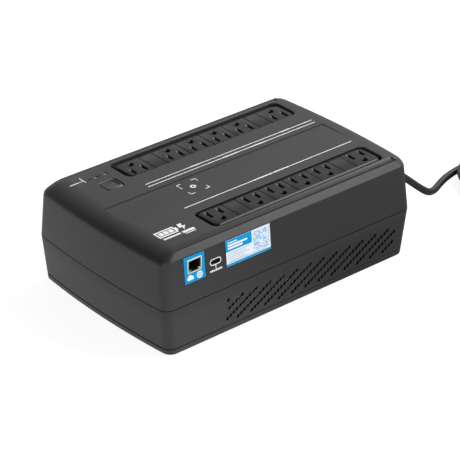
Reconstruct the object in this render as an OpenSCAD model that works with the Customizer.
// Uninterruptible power supply with twelve earthed outlets, a network jack and a captive cord.
// Millimetres. Z is up, and the origin is the middle of the case on the surface it stands on.
// +X is the end the cord leaves, -Y is the long side with the network jack.

/* [Case] */
// Length of the case at its parting line
case_length = 302.8; // [300:0.2:306]
// Width of the case at its parting line
case_width = 186.2; // [184:0.2:190]
// Height of the top above the surface
case_height = 101; // [100:0.5:104]
// Height of the parting line
seam_height = 48.2; // [46:0.2:50]
// How far each end bows out in plan
end_bow = 4.9; // [3:0.1:6]
// Radius of the upright corners
corner_radius = 8.5; // [7:0.5:10]
// Thickness of the walls
wall = 2.6; // [2:0.1:3]
// Height of the case's underside above the surface
foot_height = 1.4; // [1:0.1:2]

/* [Outlets] */
// Distance between neighbouring outlets in the middle four
outlet_pitch = 28.1; // [28:0.1:28.3]
// Distance from the first or last outlet to its neighbour
wide_pitch = 43; // [42.8:0.1:43.2]
// Distance of the ground holes from the case's centre line
ground_row = 65.5; // [65:0.1:66]
// Distance between the two blade slots of an outlet
blade_spacing = 12.7; // [12.6:0.1:12.8]
// Distance from the blade slots to the ground hole
ground_offset = 11.9; // [11.8:0.1:12]

/* [Power button] */
// Length of the button along the case
button_length = 17; // [16:0.5:18]
// Width of the button across the case
button_width = 15; // [14:0.5:16]
// How far the button goes in
button_travel = 1.5; // [1:0.1:1.6]

/* [Battery] */
// Length of the battery
battery_length = 151; // [150:0.5:152]
// Width of the battery as it lies
battery_width = 94; // [93:0.5:95]
// Height of the battery as it lies
battery_height = 65; // [64:0.5:66]

/* [Cord] */
// Diameter of the power cord
cord_diameter = 7.2; // [7:0.1:7.4]
// Radius at the middle of the turns
coil_radius = 42; // [41:1:43]

/* [Hidden] */

eps = 0.01;
gap = 0.3;

// Case shape
half_length = case_length / 2;
half_width = case_width / 2;
roof = 3;
roll_start = case_height - 11;
chamfer_start = case_height - 7.8;
side_draft = 0.094;
near_end_roll = 24;
cord_end_roll = 9.5;
corner_steps = 4;
end_steps = 6;
seam_gap = 0.6;
floor_top = foot_height + 2.6;
post_x = 134;
post_y = 76;

// Outlets
strip_left = -73.6;
strip_right = 125;
strip_inner = 44.4;
strip_outer = 76.6;
strip_top = case_height - 1.2;
strip_depth = 22;
strip_ear = 6.5;
blade_row = ground_row - ground_offset;
row_middle = (strip_inner + strip_outer) / 2;
outlet_centre = (strip_left + strip_right) / 2;
outlet_x = [
    outlet_centre - 1.5 * outlet_pitch - wide_pitch,
    outlet_centre - 1.5 * outlet_pitch,
    outlet_centre - 0.5 * outlet_pitch,
    outlet_centre + 0.5 * outlet_pitch,
    outlet_centre + 1.5 * outlet_pitch,
    outlet_centre + 1.5 * outlet_pitch + wide_pitch,
];
bar_top = strip_top - strip_depth - 0.2;

// Button and lamps
button_x = -97.2;
button_y = 44.8;
button_top = case_height - 1.4;
flange_top = case_height - roof - 0.2;
control_top = case_height - 13.4;
lamp_x = [-103.2, -92.2];
lamp_y = 65.4;

// Jacks on the near side
jack_x = -112.5;
jack_z = 83;
usb_x = -89;
usb_z = 77.7;
jack_board_top = 76;

// Boards, battery and transformer
main_board_top = 13.6;
board_thick = 1.6;
battery_x = -34.5;
battery_y = 19;
battery_bottom = 5.8;
door_half = 76.2;
door_inner_y = -31;
door_top = 5.4;
transformer_x = 97;
transformer_y = 24;
transformer_z = 37;
breaker_y = -60;
breaker_z = 26;
cord_y = -30;

// Cord: the points that the free run follows, from the strain relief to the coil
relief_tip = 176;
floor_line = cord_diameter / 2;
coil_turns = 3;
coil_lift = 0.8;
coil_centre = [320, -62.2];
coil_outer = coil_radius + cord_diameter * coil_turns / 2;
coil_top = coil_lift + 1.5 * cord_diameter;
cord_points = [
    [176, -30, 48.2], [182, -30, 47.6], [188, -30, 45.4], [194, -30, 41.4], [200, -30, 36.4],
    [206, -30, 31.2], [212, -30, 26], [218, -30, 20.8], [224, -30, 15.8], [230, -30, 11],
    [236, -29, 7.2], [243, -27, 4.8], [250, -24.4, 3.8], [258, -20.6, 3.6], [266, -17, 3.6],
    [275, -13.8, 3.6], [285, -11.2, 3.6], [295, -9.9, 3.8], [305, -9.4, 4.2], [312, -9.4, 4.4],
];
tail_points = [[328, -9.4, 11.6], [336, -9.4, 11.6], [344, -9.4, 11.6], [352, -9.4, 11.6]];
plug_y = -9.4;
plug_z = 11.6;
plug_face = 400;

charcoal = [0.19, 0.19, 0.195];
dark = [0.11, 0.11, 0.115];
board_green = [0.05, 0.3, 0.16];
steel = [0.72, 0.73, 0.75];
brass = [0.8, 0.64, 0.3];
copper = [0.72, 0.38, 0.18];

// ---------- helpers ----------

// Corner arc points of a ring
function corner_arc(cx, cy, r, start) = [
    for (i = [0 : corner_steps])
        [cx + r * cos(start + 90 * i / corner_steps), cy + r * sin(start + 90 * i / corner_steps)]
];

// Straight end between two corners, without its end points
function end_line(x, from_y, to_y) = [
    for (i = [1 : end_steps - 1]) [x, from_y + (to_y - from_y) * i / end_steps]
];

// One ring of a shell: a rounded rectangle whose ends bow outwards
function plan_ring(z, low_x, high_x, half_y, r) = [
    for (p = concat(
        corner_arc(high_x - r, half_y - r, r, 0),
        corner_arc(low_x + r, half_y - r, r, 90),
        end_line(low_x, half_y - r, r - half_y),
        corner_arc(low_x + r, r - half_y, r, 180),
        corner_arc(high_x - r, r - half_y, r, 270),
        end_line(high_x, r - half_y, half_y - r)
    )) [p[0] - sign(p[0]) * end_bow * pow(p[1] / half_width, 2), p[1], z]
];

// Closed solid through a stack of rings
module loft(rings) {
    count = len(rings[0]);
    last = len(rings) - 1;
    polyhedron(
        points = [for (ring = rings) for (p = ring) p],
        faces = concat(
            [[for (i = [0 : count - 1]) i]],
            [for (k = [0 : last - 1], i = [0 : count - 1])
                [k * count + i, (k + 1) * count + i, (k + 1) * count + (i + 1) % count,
                    k * count + (i + 1) % count]],
            [[for (i = [count - 1 : -1 : 0]) last * count + i]]
        ),
        convexity = 6
    );
}

// How far an end has rolled in at height z
function roll_in(z, width) =
    z <= roll_start ? 0 : width * (1 - sqrt(max(0, 1 - pow((z - roll_start) / 11, 2))));

// Half width of the top cover at height z
function cover_half(z) =
    z <= chamfer_start ? half_width - side_draft * (z - seam_height)
    : half_width - side_draft * (chamfer_start - seam_height) - (z - chamfer_start) * 0.6;

function cover_ring(z, inset) = plan_ring(
    z,
    -half_length + 0.043 * (z - seam_height) + roll_in(z + inset * 0.7, near_end_roll) + inset,
    half_length - 0.077 * (z - seam_height) - roll_in(z + inset * 0.7, cord_end_roll) - inset,
    cover_half(z) - inset,
    corner_radius - inset * 0.8
);

// Ring of the bottom shell: it tapers in towards the base
function base_ring(z, inset) = plan_ring(
    z,
    -half_length + 0.097 * (seam_height - z) + inset,
    half_length - 0.127 * (seam_height - z) - inset,
    half_width - 0.034 * (seam_height - z) - inset,
    corner_radius - inset * 0.8
);

// Upright box given by its low corner and high corner
module box(low, high) {
    translate(low) cube(high - low);
}

// Cylinder along X
module x_rod(x0, x1, y, z, r) {
    translate([x0, y, z]) rotate([0, 90, 0]) cylinder(h = x1 - x0, r = r, $fn = 48);
}

// Cylinder along Z
module z_rod(x, y, z0, z1, r) {
    translate([x, y, z0]) cylinder(h = z1 - z0, r = r, $fn = 48);
}

// Tube swept along points
function unit(v) = v / norm(v);
function along(points, i) =
    unit(points[min(i + 1, len(points) - 1)] - points[max(i - 1, 0)]);
// Round tube along points. It never runs parallel to reference
module tube(points, r, sides, reference = [0, 0, 1]) {
    rings = [
        for (i = [0 : len(points) - 1])
            let (t = along(points, i), s = unit(cross(t, reference)), u = cross(s, t))
                [for (k = [0 : sides - 1])
                    points[i] + r * (cos(360 * k / sides) * s + sin(360 * k / sides) * u)]
    ];
    last = len(points) - 1;
    polyhedron(
        points = [for (ring = rings) for (p = ring) p],
        faces = concat(
            [[for (k = [sides - 1 : -1 : 0]) k]],
            [for (i = [0 : last - 1], k = [0 : sides - 1])
                [i * sides + k, i * sides + (k + 1) % sides, (i + 1) * sides + (k + 1) % sides,
                    (i + 1) * sides + k]],
            [[for (k = [0 : sides - 1]) last * sides + k]]
        )
    );
}

// Copies at the four corners of a rectangle centred on the origin
module four_corners(x, y) {
    for (sx = [-1, 1], sy = [-1, 1]) translate([sx * x, sy * y, 0]) children();
}

// Places a flat piece on the leaning near wall, at x and height z
module on_near_wall(x, z) {
    translate([x, -(half_width - side_draft * (z - seam_height)), z])
        rotate([-atan(side_draft), 0, 0])
            children();
}

// ---------- case ----------

cover_levels = [
    seam_height + seam_gap / 2, roll_start, chamfer_start, case_height - 5, case_height - 2.8,
    case_height - 1.4, case_height - 0.5, case_height,
];
cover_hollow_levels = [
    seam_height, roll_start - 2, chamfer_start - 1, case_height - 6.4, case_height - 4.4,
    case_height - roof,
];

control_posts = [for (x = [-124, -90], y = [32, 72]) [x, y]];
jack_posts = [[-125, -61], [-82, -61]];
strip_posts = [
    for (x = [strip_left - strip_ear, outlet_centre, strip_right + strip_ear], s = [-1, 1]) [x, s * 40.4]
];

module outlet_window(side) {
    low_y = side > 0 ? strip_inner - 0.3 : -strip_outer - 0.3;
    high_y = side > 0 ? strip_outer + 0.3 : -strip_inner + 0.3;
    box([strip_left - 0.3, low_y, case_height - roof - 1], [strip_right + 0.3, high_y, case_height + 1]);
    hull() {
        box([strip_left - 4.2, low_y - 1.6, case_height + 0.1],
            [strip_right + 1.4, high_y + 1.6, case_height + 0.2]);
        box([strip_left - 0.3, low_y, case_height - 1.6], [strip_right + 0.3, high_y, case_height - 1.5]);
    }
}

module top_cover() {
    color(charcoal) difference() {
        union() {
            difference() {
                loft([for (z = cover_levels) cover_ring(z, 0)]);
                loft([for (z = cover_hollow_levels) cover_ring(z, wall)]);
            }
            // Screw bosses
            for (s = [-1, 1], y = [-post_y, post_y])
                z_rod(s * post_x, y, seam_height + 3.8, case_height - (s > 0 ? roof - 0.5 : 5.6), 4.2);
            // Posts for the control board and the jack board
            for (p = control_posts) z_rod(p[0], p[1], control_top + 0.2, case_height - roof + 0.5, 2.6);
            for (p = jack_posts) z_rod(p[0], p[1], jack_board_top + 0.2, case_height - roof + 0.5, 2.6);
            // Posts for the outlet strips
            for (p = strip_posts) z_rod(p[0], p[1], case_height - 11, case_height - roof + 0.5, 2.6);
        }
        outlet_window(1);
        outlet_window(-1);
        // Shallow centre panel, deepest along its far edge
        translate([-130.5, -28, case_height]) rotate([-0.9, 0, 0]) cube([260, 40.3, 3]);
        // Button well and lamp slots
        box([button_x - button_length / 2 - gap, button_y - button_width / 2 - gap, case_height - roof - 1],
            [button_x + button_length / 2 + gap, button_y + button_width / 2 + gap, case_height + 1]);
        for (x = lamp_x)
            box([x - 4.9, lamp_y - 1.9, case_height - roof - 1], [x + 4.9, lamp_y + 1.9, case_height + 1]);
        // Jack windows in the near wall
        box([jack_x - 7.9, -half_width, jack_z - 6.7], [jack_x + 7.9, -half_width + 9, jack_z + 6.5]);
        translate([usb_x, -half_width + 9, usb_z]) rotate([90, 0, 0]) linear_extrude(12) union() {
            square([6.6, 3.8], center = true);
            for (s = [-3.3, 3.3]) translate([s, 0]) circle(r = 1.9, $fn = 32);
        }
        // Pilot holes
        four_corners(post_x, post_y) z_rod(0, 0, seam_height + 3, case_height - 30, 1.55);
        for (p = control_posts) z_rod(p[0], p[1], control_top, control_top + 7, 1.05);
        for (p = jack_posts) z_rod(p[0], p[1], jack_board_top, jack_board_top + 7, 1.05);
        for (p = strip_posts) z_rod(p[0], p[1], case_height - 12, case_height - 4.5, 1.05);
        // Upper half of the cord entry
        cord_entry();
        // Crease along the long top edges
        for (s = [-1, 1])
            box([-139, s * 84.2 - 0.4, case_height - 0.9], [133, s * 84.2 + 0.4, case_height + 1]);
    }
}

base_levels = [
    foot_height, foot_height + 1.4, foot_height + 5.7, foot_height + 6, foot_height + 6.6,
    foot_height + 6.9, seam_height - seam_gap / 2,
];
base_insets = [1.5, 0, 0, 0.7, 0.7, 0, 0];

module base_skin() {
    loft([for (i = [0 : len(base_levels) - 1]) base_ring(base_levels[i], base_insets[i])]);
}

// Ring with the plan of the parting line, at any height
function seam_ring(z, inset) = [for (p = base_ring(seam_height, inset)) [p[0], p[1], z]];

// Hole for the strain relief, half in each shell
module cord_entry() {
    x_rod(half_length - 12, half_length + 4, cord_y, seam_height, 7.3);
    x_rod(half_length - 14, half_length - 3.2, cord_y, seam_height, 9.4);
}

// Slanted field of vent holes in one long wall
vent_step = [3.64, 2.12];
vent_rows = 11;
vent_low = 13.2;
vent_from = -77;
vent_to = 126;
module vent_holes() {
    for (line = [0 : 14], i = [0 : vent_rows - 1])
        let (x = -112.6 + 16.1 * line + vent_step[0] * i)
            if (x > vent_from && x < vent_to)
                translate([x - 0.9, -half_width - 1, vent_low + vent_step[1] * i - 1.1])
                    cube([1.8, 9, 2.2]);
}

module keyhole(x, y) {
    z_rod(x, y, 0, floor_top + 1, 4.3);
    z_rod(x, y + 8, 0, floor_top + 1, 2.2);
    box([x - 2.2, y, 0], [x + 2.2, y + 8, floor_top + 1]);
}

standoffs = [for (x = [-94, 4, 102], y = [-80, -42]) [x, y]];
bracket_holes = [for (x = [-32, 32], y = [-29, 29]) [transformer_x + x, transformer_y + y]];

module bottom_shell() {
    color(charcoal) difference() {
        union() {
            difference() {
                base_skin();
                loft([for (z = [floor_top, seam_height + 1]) base_ring(z, wall)]);
            }
            // Tongue that fills the parting line from inside
            difference() {
                loft([
                    seam_ring(seam_height - 4, 1.5), seam_ring(seam_height - 0.8, 1.5),
                    seam_ring(seam_height - 0.8, wall + gap), seam_ring(seam_height + 2.6, wall + gap),
                ]);
                loft([seam_ring(seam_height - 5, wall + 1.6), seam_ring(seam_height + 3, wall + 1.6)]);
            }
            four_corners(post_x, post_y) z_rod(0, 0, foot_height + 0.2, seam_height + 3.4, 5);
            for (p = standoffs) z_rod(p[0], p[1], floor_top - 0.5, main_board_top - board_thick, 3);
            for (p = bracket_holes) z_rod(p[0], p[1], floor_top - 0.5, 7, 4);
            // Guides for the battery door, with bay walls on them
            for (s = [-1, 1]) {
                guide_x = battery_x + s * (door_half + 4);
                box([guide_x - 3.8, door_inner_y - 4, foot_height + 0.2], [guide_x + 3.8, 88, 7.6]);
                wall_x = battery_x + s * (door_half + 6.6);
                box([wall_x - 1, door_inner_y - 4, 7], [wall_x + 1, 82, 40]);
            }
            box([battery_x - 82, door_inner_y - 4, floor_top - 0.5], [battery_x + 82, door_inner_y - 2, 40]);
        }
        // Battery opening, the grooves of the door, and its notch in the far wall
        box([battery_x - door_half - gap, door_inner_y, 0], [battery_x + door_half + gap, half_width + 2, 7.7]);
        box([battery_x - door_half - 4.8, door_inner_y, 3.4],
            [battery_x + door_half + 4.8, half_width + 2, door_top + 0.3]);
        box([battery_x - door_half - 6.3, 87, 0], [battery_x + door_half + 6.3, half_width + 2, 8]);
        vent_holes();
        mirror([0, 1, 0]) vent_holes();
        keyhole(-88, -62);
        keyhole(88, -62);
        // Screw holes
        four_corners(post_x, post_y) union() {
            z_rod(0, 0, 0, seam_height + 5, 1.8);
            z_rod(0, 0, 0, 36, 3.7);
        }
        for (p = standoffs) z_rod(p[0], p[1], floor_top + 0.6, main_board_top, 1.25);
        for (p = bracket_holes) z_rod(p[0], p[1], floor_top + 0.2, 8, 1.55);
        four_corners(post_x, 50) z_rod(0, 0, 0, foot_height + 1.3, 7.2);
        // Breaker hole and lower half of the cord entry
        x_rod(half_length - 12, half_length + 4, breaker_y, breaker_z, 6.2);
        cord_entry();
    }
}

// Door under the battery: it slides out towards +Y
module battery_door() {
    color(charcoal) difference() {
        union() {
            box([battery_x - door_half, door_inner_y + gap, foot_height + 0.1],
                [battery_x + door_half, 88, door_top]);
            box([battery_x - door_half - 4.4, door_inner_y + gap, 3.7],
                [battery_x + door_half + 4.4, 88, door_top]);
            intersection() {
                base_skin();
                box([battery_x - door_half - 6, 87.3, foot_height + 0.1],
                    [battery_x + door_half + 6, half_width + 2, 7.7]);
            }
        }
        // Finger grip and lightening pockets
        translate([battery_x, 66, 0]) scale([2.2, 1, 1]) cylinder(h = 2.6, r = 9, $fn = 48);
        for (i = [-2 : 2])
            box([battery_x + 28 * i - 11, door_inner_y + 8, foot_height + 2.2],
                [battery_x + 28 * i + 11, 46, door_top + 1]);
    }
}

module rubber_feet() {
    color([0.07, 0.07, 0.07]) four_corners(post_x, 50) union() {
        z_rod(0, 0, 0, foot_height + 1.2, 6);
        z_rod(0, 0, foot_height + 0.2, foot_height + 1.2, 7);
    }
}

// Pan-head screw whose head sits below z and whose shank rises from it
module screw_up(z, length, shank_r, head_r) {
    z_rod(0, 0, z - head_r * 0.7, z, head_r);
    z_rod(0, 0, z - eps, z + length, shank_r);
}

module screw_down(z, length, shank_r, head_r) {
    z_rod(0, 0, z, z + head_r * 0.7, head_r);
    z_rod(0, 0, z - length, z + eps, shank_r);
}

module case_screws() {
    color(steel) four_corners(post_x, post_y) screw_up(35.9, 24, 1.5, 3);
}

// ---------- outlets ----------

live_side = 6.35;

// Cuts of one outlet, its ground hole towards -Y
module outlet_cuts(x) {
    translate([x, 0, 0]) {
        for (k = [0, 1]) {
            slot_x = k == 0 ? blade_spacing / 2 : -blade_spacing / 2;
            slot_half = k == 0 ? 3.4 : 4.1;
            box([slot_x - 1.05, -blade_row - slot_half, strip_top - 12],
                [slot_x + 1.05, -blade_row + slot_half, strip_top + 1]);
            box([slot_x - 2.2, -blade_row - 4.6, strip_top - strip_depth - 1],
                [slot_x + 2.2, -blade_row + 4.6, strip_top - 8]);
        }
        z_rod(0, -ground_row, strip_top - 12, strip_top + 1, 2.7);
        z_rod(0, -ground_row, strip_top - strip_depth - 1, strip_top - 8, 4.2);
    }
}

module outlet_strip() {
    difference() {
        union() {
            box([strip_left, -strip_outer, strip_top - strip_depth], [strip_right, -strip_inner, strip_top]);
            for (x = [strip_left - strip_ear, outlet_centre, strip_right + strip_ear])
                box([x - 4, -strip_inner - 2, case_height - 13.6], [x + 4, -36.5, case_height - 11.2]);
            box([strip_left - 11, -strip_inner - 6, case_height - 13.6],
                [strip_left + 1, -strip_inner + 3, case_height - 11.2]);
            box([strip_right - 1, -strip_inner - 6, case_height - 13.6],
                [strip_right + 10, -strip_inner + 3, case_height - 11.2]);
        }
        for (x = outlet_x) outlet_cuts(x);
        // Grooves between the cells
        for (i = [0 : 5], s = [-1, 1])
            box([outlet_x[i] + s * outlet_pitch / 2 - 0.3, -strip_outer - 1, strip_top - 0.6],
                [outlet_x[i] + s * outlet_pitch / 2 + 0.3, -strip_inner + 1, strip_top + 1]);
        for (x = [strip_left - strip_ear, outlet_centre, strip_right + strip_ear])
            z_rod(x, -40.4, case_height - 15, case_height - 10, 1.3);
    }
}

module near_outlet_strip() {
    color(dark) outlet_strip();
}

// The far strip is the same moulding turned round, so its cells run the other way
module far_outlet_strip() {
    color(dark) translate([2 * outlet_centre, 0, 0]) rotate([0, 0, 180]) outlet_strip();
}

// Places a row's bars in both rows
module both_rows() {
    children();
    translate([2 * outlet_centre, 0, 0]) rotate([0, 0, 180]) children();
}

// Bus bar with a pair of spring leaves at each outlet
module blade_bar(slot_x, bar_y) {
    box([strip_left + 3, bar_y - 2.4, bar_top - 0.8], [strip_right - 3, bar_y + 2.4, bar_top]);
    for (x = outlet_x, s = [-1, 1]) {
        leaf_x = x + slot_x + s * 0.95;
        stem_y = bar_y < -blade_row ? -blade_row - 3 : -blade_row + 1;
        box([leaf_x - 0.2, stem_y, bar_top - 0.1], [leaf_x + 0.2, stem_y + 2, bar_top + 2.1]);
        box([leaf_x - 0.2, -blade_row - 3, bar_top + 2], [leaf_x + 0.2, -blade_row + 3, bar_top + 11]);
    }
}

module live_bus_bars() {
    color(brass) both_rows() blade_bar(blade_spacing / 2, -blade_row + 3.4);
}

module neutral_bus_bars() {
    color(brass) both_rows() blade_bar(-blade_spacing / 2, -blade_row - 3.4);
}

module ground_bus_bars() {
    color(brass) both_rows() union() {
        box([strip_left + 3, -ground_row - 3, bar_top - 0.8], [strip_right - 3, -ground_row + 3, bar_top]);
        for (x = outlet_x) difference() {
            z_rod(x, -ground_row, bar_top - 0.1, bar_top + 10, 3.3);
            z_rod(x, -ground_row, bar_top + 1, bar_top + 11, 2.5);
        }
    }
}

module strip_screws() {
    color(steel) for (p = strip_posts) translate([p[0], p[1], 0])
        screw_up(case_height - 13.7, 9, 1, 2);
}

// Three risers from the board to the near bars and three jumpers to the far bars
module outlet_leads() {
    color([0.15, 0.15, 0.16]) {
        for (i = [0 : 2]) {
            y = [-blade_row + 3.4, -blade_row - 3.4, -ground_row][i];
            far_y = [blade_row - 3.4, blade_row + 3.4, ground_row][i];
            x = 103 + 5 * i;
            tube([[x, y, bar_top - 1], [x, y, 60], [x - 1, y + 1, 45], [98, y + 2, 30], [95, y + 3, 20],
                [95, y + 3, main_board_top + 0.1]], 1.3, 8, [1, 0, 0]);
            tube([[x + 6, y, bar_top - 1], [x + 6, y + 2, 72.6], [x + 6, y + 8, 71.4], [x + 6, -20, 71],
                [x + 6, 20, 71], [x + 6, far_y - 8, 71.4], [x + 6, far_y - 2, 72.6],
                [x + 6, far_y, bar_top - 1]], 1.3, 8, [1, 0, 0]);
        }
    }
}

// ---------- button, lamps and boards ----------

module power_button() {
    color(dark) translate([button_x, button_y, 0]) difference() {
        union() {
            box([-button_length / 2, -button_width / 2, flange_top - 1.4],
                [button_length / 2, button_width / 2, button_top]);
            box([-button_length / 2 - 1.2, -button_width / 2 - 1.2, flange_top - 1.4],
                [button_length / 2 + 1.2, button_width / 2 + 1.2, flange_top]);
            z_rod(0, 0, control_top + 6, flange_top - 1.3, 2);
        }
        // Dished top
        translate([0, 0, button_top + 59.4]) rotate([0, 90, 0])
            cylinder(h = button_length - 3, r = 60, center = true, $fn = 96);
    }
}

// Return spring round the button's stem
module button_spring() {
    coils = 4;
    steps = 12;
    foot = control_top + 0.4;
    rise = flange_top - 1.4 - 0.4 - foot;
    color(steel) tube([
        for (i = [0 : coils * steps])
            [button_x + 5.4 * cos(360 * i / steps), button_y + 5.4 * sin(360 * i / steps),
                foot + rise * i / (coils * steps)]
    ], 0.35, 6);
}

module button_switch() {
    color(dark) translate([button_x, button_y, 0]) {
        box([-3, -3, control_top], [3, 3, control_top + 3.4]);
        z_rod(0, 0, control_top + 3.3, control_top + 4.2, 1.7);
    }
}

module lamp_lenses() {
    color([0.3, 0.32, 0.34]) for (x = lamp_x)
        box([x - 4.7, lamp_y - 1.7, control_top + 2.4], [x + 4.7, lamp_y + 1.7, case_height - 0.3]);
}

module status_lamps() {
    color([0.85, 0.85, 0.75]) for (x = lamp_x) {
        box([x - 1.7, lamp_y - 1.4, control_top], [x + 1.7, lamp_y + 1.4, control_top + 1.6]);
    }
}

module control_board() {
    color(board_green) difference() {
        box([-129, 27, control_top - board_thick], [-85.4, 77, control_top]);
        for (p = control_posts) z_rod(p[0], p[1], control_top - 3, control_top + 1, 1.3);
    }
}

module control_chips() {
    color([0.05, 0.05, 0.05]) {
        box([-121, 50, control_top], [-112, 59, control_top + 1.2]);
        box([-120, 40, control_top], [-114, 46, control_top + 1.6]);
        for (i = [0 : 3]) box([-112 + 3.2 * i, 61.4, control_top], [-110.4 + 3.2 * i, 62.2, control_top + 0.8]);
    }
}

module network_jack_shield() {
    color(steel) difference() {
        box([jack_x - 7.7, -90.5, 76.4], [jack_x + 7.7, -69.5, 89.3]);
        box([jack_x - 7.1, -91, 77], [jack_x + 7.1, -70.1, 88.7]);
    }
}

module network_jack_body() {
    color(dark) difference() {
        box([jack_x - 7, -90.2, 77.1], [jack_x + 7, -70.2, 88.6]);
        box([jack_x - 5.9, -91, 79.9], [jack_x + 5.9, -77, 87.6]);
        box([jack_x - 3.2, -91, 78], [jack_x + 3.2, -77, 80]);
        for (s = [-1, 1]) box([jack_x + s * 5.4 - 1.3, -91, 77.3], [jack_x + s * 5.4 + 1.3, -86, 79.5]);
    }
}

module network_jack_contacts() {
    color(brass) for (i = [0 : 7]) translate([jack_x - 3.57 + 1.02 * i, 0, 0]) {
        box([-0.2, -88.6, 86.9], [0.2, -77.05, 87.3]);
        translate([0, -88.6, 87.1]) rotate([-14, 0, 0]) box([-0.2, 0, -0.2], [0.2, 8.2, 0.2]);
    }
}

module network_jack_lamps() {
    for (s = [-1, 1]) color(s < 0 ? [0.2, 0.75, 0.35] : [0.9, 0.75, 0.2])
        box([jack_x + s * 5.4 - 1.2, -90.4, 77.4], [jack_x + s * 5.4 + 1.2, -86.1, 79.4]);
}

module network_sticker() {
    color([0, 0.58, 0.9]) on_near_wall(jack_x, 67.6) difference() {
        box([-11.3, -0.27, 0], [11.3, -0.05, 24.8]);
        box([-8, -1, 8.6], [8, 1, 22]);
    }
}

module usb_jack_shell() {
    color(steel) translate([usb_x, -89.8, usb_z]) rotate([-90, 0, 0]) linear_extrude(7.4) difference() {
        stadium(8.94 + 0.6, 3.2);
        stadium(8.94, 2.6);
    }
}

module stadium(length, height) {
    square([length - height, height], center = true);
    for (s = [-1, 1]) translate([s * (length - height) / 2, 0]) circle(r = height / 2, $fn = 32);
}

module usb_jack_tongue() {
    color([0.04, 0.04, 0.04]) {
        box([usb_x - 3.3, -89, usb_z - 0.35], [usb_x + 3.3, -83, usb_z + 0.35]);
        translate([usb_x, -83.1, usb_z]) rotate([-90, 0, 0]) linear_extrude(0.7) stadium(8.7, 2.4);
    }
}

module jack_board() {
    color(board_green) difference() {
        box([-129.5, -86, jack_board_top - board_thick], [-77.5, -56, jack_board_top]);
        for (p = jack_posts) z_rod(p[0], p[1], jack_board_top - 3, jack_board_top + 1, 1.3);
    }
}

module network_chip() {
    color([0.05, 0.05, 0.05]) {
        box([-97, -74, jack_board_top], [-88, -65, jack_board_top + 1.3]);
        box([-119, -67, jack_board_top], [-106, -60, jack_board_top + 5]);
    }
}

module information_label() {
    color([0.92, 0.95, 1]) on_near_wall(-51.5, 67.6) box([-25.4, -0.27, 0], [25.4, -0.05, 24.8]);
}

module main_board() {
    color(board_green) difference() {
        box([-100, -85.5, main_board_top - board_thick], [108, -37, main_board_top]);
        for (p = standoffs) z_rod(p[0], p[1], main_board_top - 3, main_board_top + 1, 1.6);
    }
}

module heat_sink() {
    color([0.75, 0.76, 0.78]) {
        box([-62, -72, main_board_top], [2, -69, 46]);
        for (i = [0 : 12]) box([-61.6 + 5.2 * i, -83, main_board_top + 2], [-60.2 + 5.2 * i, -71.9, 46]);
    }
}

module power_transistors() {
    for (x = [-52, -36, -20, -4 - 4]) {
        color([0.06, 0.06, 0.06]) box([x - 5, -69, 20], [x + 5, -64.6, 35]);
        color(steel) for (k = [-1 : 1])
            box([x + 2.54 * k - 0.4, -67.2, main_board_top], [x + 2.54 * k + 0.4, -66.6, 20.1]);
    }
}

module relays() {
    color([0.1, 0.2, 0.45]) for (x = [22, 46, 70])
        box([x - 9.6, -82, main_board_top], [x + 9.6, -66.6, main_board_top + 15.6]);
}

module capacitors() {
    color([0.12, 0.14, 0.3]) {
        for (x = [-42, -22]) z_rod(x, -52, main_board_top, main_board_top + 30, 8);
        for (x = [16, 28, 40]) z_rod(x, -50, main_board_top, main_board_top + 14, 4);
    }
}

module battery_fuse() {
    color([0.2, 0.45, 0.2]) box([-74, -49, main_board_top], [-60, -42, main_board_top + 5]);
    color([0.85, 0.45, 0.1]) box([-72, -47, main_board_top + 5.1], [-62, -44, main_board_top + 14]);
}

module beeper() {
    color([0.04, 0.04, 0.04]) difference() {
        z_rod(78, -48, main_board_top, main_board_top + 9, 6.5);
        z_rod(78, -48, main_board_top + 7, main_board_top + 10, 1);
    }
}

module board_screws() {
    color(steel) {
        for (p = standoffs) translate([p[0], p[1], 0]) screw_down(main_board_top, 8, 1.2, 2.6);
        for (p = control_posts) translate([p[0], p[1], 0]) screw_up(control_top - board_thick, 8, 1, 2);
        for (p = jack_posts) translate([p[0], p[1], 0]) screw_up(jack_board_top - board_thick, 8, 1, 2);
    }
}

// Cables between the main board, the control board and the jack board
module signal_cables() {
    color([0.5, 0.5, 0.52]) {
        tube([[-96, -70, main_board_top + 0.1], [-96, -70, 20], [-104, -66, 30], [-118, -58, 42],
            [-124, -40, 56], [-124, -10, 70], [-118, 20, 76], [-111, 34, 80], [-110, 36, 83],
            [-110, 36, control_top - board_thick - 0.1]], 1.6, 8, [1, 0, 0]);
        tube([[-104, -62, jack_board_top - board_thick - 0.1], [-104, -62, 72], [-105, -52, 70.4],
            [-108, -30, 72.4], [-106, 0, 74], [-103, 24, 78], [-102, 36, 83],
            [-102, 36, control_top - board_thick - 0.1]], 1.2, 8, [1, 0, 0]);
    }
}

// ---------- transformer ----------

module transformer_core() {
    color([0.45, 0.46, 0.48]) translate([transformer_x, transformer_y, transformer_z]) difference() {
        box([-40, -20, -28], [40, 20, 28]);
        for (s = [-1, 1]) box([s * 20.5 - 7, -21, -21], [s * 20.5 + 7, 21, 21]);
    }
}

module winding_ring(x, y, half_z) {
    difference() {
        box([-x, -y, -half_z], [x, y, half_z]);
        box([-13.8, -20.3, -half_z - 1], [13.8, 20.3, half_z + 1]);
    }
}

module transformer_bobbin() {
    color([0.9, 0.88, 0.8]) translate([transformer_x, transformer_y, transformer_z]) {
        for (s = [-1, 1]) translate([0, 0, s * 20]) winding_ring(26.6, 35, 0.8);
    }
}

module transformer_winding() {
    color(copper) translate([transformer_x, transformer_y, transformer_z]) difference() {
        winding_ring(25.6, 33.6, 19.1);
        for (s = [-1, 1], t = [-1, 1]) translate([s * 25.6, t * 33.6, 0]) rotate([0, 0, 45])
            cube([4, 4, 50], center = true);
    }
}

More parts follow.
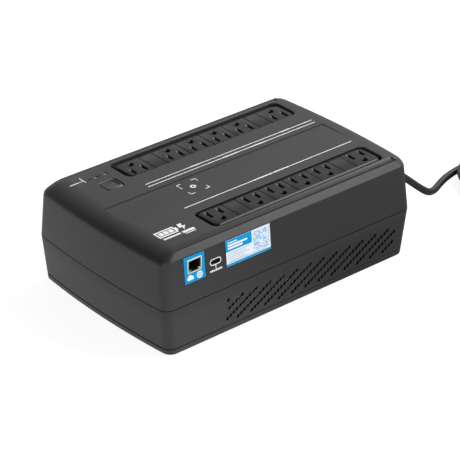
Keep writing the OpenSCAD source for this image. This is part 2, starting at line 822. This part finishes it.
module transformer_bracket() {
    color(steel) translate([transformer_x, transformer_y, 0]) difference() {
        union() {
            box([-41.6, -34, 7], [41.6, 34, 8.4]);
            for (s = [-1, 1]) box([s * 41 - 0.6, -12, 7], [s * 41 + 0.6, 12, 66.6]);
            box([-41.6, -12, 65.4], [41.6, 12, 66.6]);
        }
        for (x = [-32, 32], y = [-29, 29]) z_rod(x, y, 6, 9, 1.8);
    }
}

module transformer_screws() {
    color(steel) for (p = bracket_holes) translate([p[0], p[1], 0]) screw_down(8.4, 3.6, 1.5, 3);
}

// ---------- battery ----------

battery_low_y = battery_y - battery_width / 2;
terminal_x = [battery_x - battery_length / 2 + 10, battery_x + battery_length / 2 - 10];

module battery_case() {
    color([0.22, 0.23, 0.25]) translate([battery_x, battery_y, battery_bottom]) difference() {
        box([-battery_length / 2, -battery_width / 2, 0], [battery_length / 2, battery_width / 2, battery_height]);
        for (s = [-1, 1]) box([-battery_length / 2 - 1, s * 30 - 0.4, battery_height - 0.5],
            [battery_length / 2 + 1, s * 30 + 0.4, battery_height + 1]);
        box([-battery_length / 2 - 1, battery_width / 2 - 8.4, battery_height - 0.5],
            [battery_length / 2 + 1, battery_width / 2 - 7.8, battery_height + 1]);
    }
}

module battery_terminals() {
    color(steel) for (x = terminal_x)
        box([x - 0.4, battery_low_y - 7.6, 60], [x + 0.4, battery_low_y, 66.3]);
}

module lead_connectors() {
    for (i = [0, 1]) color(i == 0 ? [0.7, 0.08, 0.06] : [0.05, 0.05, 0.05]) difference() {
        box([terminal_x[i] - 2.6, battery_low_y - 16, 58.8], [terminal_x[i] + 2.6, battery_low_y - 2.4, 67.6]);
        box([terminal_x[i] - 0.6, battery_low_y - 7.8, 59.8], [terminal_x[i] + 0.6, battery_low_y, 66.5]);
    }
}

module battery_leads() {
    start_y = battery_low_y - 16.1;
    color([0.7, 0.08, 0.06]) tube([[terminal_x[0], start_y, 63.2], [terminal_x[0], start_y - 4, 62.4],
        [terminal_x[0] + 3, start_y - 8, 56], [terminal_x[0] + 10, start_y - 11, 44], [-86, -57, 30],
        [-82, -57, 20], [-82, -57, main_board_top + 0.1]], 1.8, 8, [1, 0, 0]);
    color([0.05, 0.05, 0.05]) tube([[terminal_x[1], start_y, 63.2], [terminal_x[1], start_y - 4, 62.4],
        [terminal_x[1] + 6, start_y - 8, 56], [terminal_x[1] + 16, start_y - 11, 44], [54, -56, 30],
        [56, -56, 20], [56, -56, main_board_top + 0.1]], 1.8, 8, [1, 0, 0]);
}

module battery_foam_pads() {
    color([0.16, 0.16, 0.17]) for (s = [-1, 1])
        box([battery_x + s * 78.5 - 2.8, -8, 10], [battery_x + s * 78.5 + 2.8, 46, 60]);
}

// ---------- breaker ----------

module breaker_body() {
    color([0.07, 0.07, 0.07]) difference() {
        union() {
            box([116, breaker_y - 8.5, breaker_z - 9], [141.4, breaker_y + 8.5, breaker_z + 9]);
            x_rod(141.3, 150.4, breaker_y, breaker_z, 5.8);
        }
        x_rod(139, 151, breaker_y, breaker_z, 3.8);
    }
}

module breaker_nut() {
    color(steel) difference() {
        translate([148.3, breaker_y, breaker_z]) rotate([0, 90, 0]) cylinder(h = 1.9, r = 8.4, $fn = 6);
        x_rod(148, 151, breaker_y, breaker_z, 5.9);
    }
}

module breaker_button() {
    color([0.75, 0.1, 0.08]) x_rod(139.6, 151, breaker_y, breaker_z, 3.4);
}

// ---------- cord ----------

module strain_relief() {
    color(dark) {
        difference() {
            union() {
                x_rod(145.4, 148, cord_y, seam_height, 9);
                x_rod(147.9, 151.6, cord_y, seam_height, 7);
                x_rod(151.5, 153, cord_y, seam_height, 8.4);
                translate([152.9, cord_y, seam_height]) rotate([0, 90, 0])
                    cylinder(h = relief_tip - 152.9, r1 = 6.6, r2 = 4.7, $fn = 48);
            }
            // Rings that let the tail flex
            for (x = [157 : 4 : 169]) difference() {
                x_rod(x, x + 1.4, cord_y, seam_height, 8);
                x_rod(x - 1, x + 3, cord_y, seam_height, 4.4);
            }
        }
    }
}

// Wires from the cord to the breaker, the board and the transformer bracket
module mains_leads() {
    color([0.08, 0.08, 0.08]) tube([[145.2, cord_y - 1, 51], [141, cord_y - 1, 51], [130, -40, 47],
        [118, -50, 38], [109, -57, 31], [109, -60, 27], [112, -60, 26], [115.7, -60, 26]], 1.3, 8, [0, 1, 0]);
    color([0.9, 0.9, 0.88]) tube([[145.2, cord_y - 4, 48], [140, cord_y - 4, 48], [126, -42, 42],
        [110, -44, 32], [104, -46, 24], [104, -46, 18], [104, -46, main_board_top + 0.1]], 1.3, 8, [0, 1, 0]);
    color([0.1, 0.5, 0.15]) tube([[145.2, cord_y + 2, 46], [141, cord_y + 2, 46], [134, -20, 34],
        [130, -12, 22], [126, -7, 12], [120, -5, 10.2], [112, -5, 9.9]], 1.3, 8, [0, 1, 0]);
}

module power_cord() {
    color([0.03, 0.03, 0.03]) {
        tube(cord_points, cord_diameter / 2, 10);
        tube(tail_points, cord_diameter / 2, 10);
    }
}

module cord_coil() {
    inner = coil_radius - cord_diameter * (coil_turns + 1) / 2;
    color([0.03, 0.03, 0.03]) translate([coil_centre[0], coil_centre[1], coil_lift])
        rotate_extrude($fn = 96) translate([inner, 0])
            square([cord_diameter * (coil_turns + 1), 2 * cord_diameter]);
}

module cord_tie() {
    inner = coil_radius - cord_diameter * (coil_turns + 1) / 2;
    outer = coil_radius + cord_diameter * (coil_turns + 1) / 2;
    color([0.03, 0.03, 0.03]) translate([coil_centre[0], coil_centre[1], 0]) difference() {
        box([-5, -outer - 0.9, 0], [5, -inner + 1.3, 2 * cord_diameter + coil_lift + 0.8]);
        box([-6, -outer - 0.1, coil_lift - 0.1], [6, -inner + 0.5, 2 * cord_diameter + coil_lift + 0.1]);
    }
}

module plug_body() {
    color([0.03, 0.03, 0.03]) {
        translate([plug_face - 30, plug_y, 0]) rotate([90, 0, 90]) linear_extrude(30) union() {
            translate([-13.5, 0]) square([27, 13.2]);
            translate([0, 13.1]) intersection() {
                circle(r = 13.5, $fn = 64);
                translate([-13.5, -0.1]) square([27, 12]);
            }
        }
        translate([352, plug_y, plug_z]) rotate([0, 90, 0]) cylinder(h = plug_face - 381.9, r1 = 4.7, r2 = 8, $fn = 48);
    }
}

module plug_blades() {
    color(brass) for (s = [-1, 1])
        box([plug_face, plug_y + s * blade_spacing / 2 - 0.75, 3.6],
            [plug_face + 17.4, plug_y + s * blade_spacing / 2 + 0.75, 9.9]);
}

module plug_ground_pin() {
    color(brass) x_rod(plug_face, plug_face + 20, plug_y, 6.75 + ground_offset, 2.38);
}

top_cover();
bottom_shell();
battery_door();
rubber_feet();
case_screws();
near_outlet_strip();
far_outlet_strip();
live_bus_bars();
neutral_bus_bars();
ground_bus_bars();
strip_screws();
outlet_leads();
signal_cables();
power_button();
button_spring();
button_switch();
lamp_lenses();
status_lamps();
control_board();
control_chips();
network_jack_shield();
network_jack_body();
network_jack_contacts();
network_jack_lamps();
network_sticker();
usb_jack_shell();
usb_jack_tongue();
jack_board();
network_chip();
information_label();
main_board();
heat_sink();
power_transistors();
relays();
capacitors();
battery_fuse();
beeper();
board_screws();
transformer_core();
transformer_bobbin();
transformer_winding();
transformer_bracket();
transformer_screws();
battery_case();
battery_terminals();
battery_leads();
lead_connectors();
battery_foam_pads();
breaker_body();
breaker_button();
breaker_nut();
mains_leads();
strain_relief();
power_cord();
cord_coil();
cord_tie();
plug_body();
plug_blades();
plug_ground_pin();
